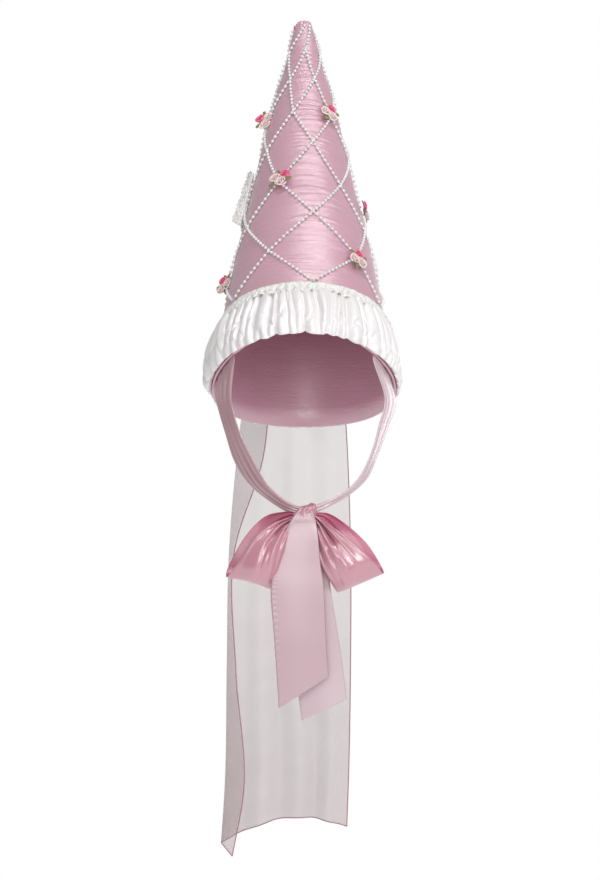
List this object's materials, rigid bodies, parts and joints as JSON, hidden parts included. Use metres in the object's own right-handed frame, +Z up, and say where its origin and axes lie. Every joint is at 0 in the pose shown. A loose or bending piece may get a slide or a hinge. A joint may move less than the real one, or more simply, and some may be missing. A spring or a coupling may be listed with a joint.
{
  "type": "hennin cone hat",
  "caption": "Tall satin cone hat worn leaning back, with a gathered rim band, crossed bead strings, ribbon roses, a tip veil and a ribbon tied in a bow under the chin.",
  "frame": {"origin": "centre of the cone's rim, where the top of the head goes in", "axes": "+Z up as worn, -Y the way the face looks, +X towards the wearer's left; the cone's own axis leans back from +Z towards +Y"},
  "size_m": [0.1993, 0.3401, 0.8856],
  "materials": {
    "satin": "pink satin, semi-gloss",
    "ribbon": "pink satin ribbon, glossy",
    "white_satin": "white satin, semi-gloss",
    "lace": "off-white lace, matte",
    "beads": "pearly, glossy",
    "pale_rose": "cream-pink satin ribbon",
    "pink_rose": "pink satin ribbon",
    "leaf": "green satin ribbon",
    "veil": "sheer organza, matte"
  },
  "bodies": {
    "root": {"cone": "satin", "bead_strings": "beads", "ruffle": "white_satin", "lace_edging": "lace", "lace_ribbon": "lace", "pale_roses_1": "pale_rose", "pink_rose_1": "pink_rose", "leaves_1": "leaf", "pale_roses_2": "pale_rose", "pink_rose_2": "pink_rose", "leaves_2": "leaf", "pale_roses_3": "pale_rose", "pink_rose_3": "pink_rose", "leaves_3": "leaf", "pale_roses_4": "pale_rose", "pink_rose_4": "pink_rose", "leaves_4": "leaf", "pale_roses_5": "pale_rose", "pink_rose_5": "pink_rose", "leaves_5": "leaf", "pale_roses_6": "pale_rose", "pink_rose_6": "pink_rose", "leaves_6": "leaf", "pale_roses_7": "pale_rose", "pink_rose_7": "pink_rose", "leaves_7": "leaf", "pale_roses_8": "pale_rose", "pink_rose_8": "pink_rose", "leaves_8": "leaf", "pale_roses_9": "pale_rose", "pink_rose_9": "pink_rose", "leaves_9": "leaf", "right_strap": "ribbon", "left_strap": "ribbon", "knot": "ribbon", "right_bow_loop": "ribbon", "left_bow_loop": "ribbon", "front_tail": "ribbon", "back_tail": "ribbon", "veil": "veil"}
  },
  "joints": []
}
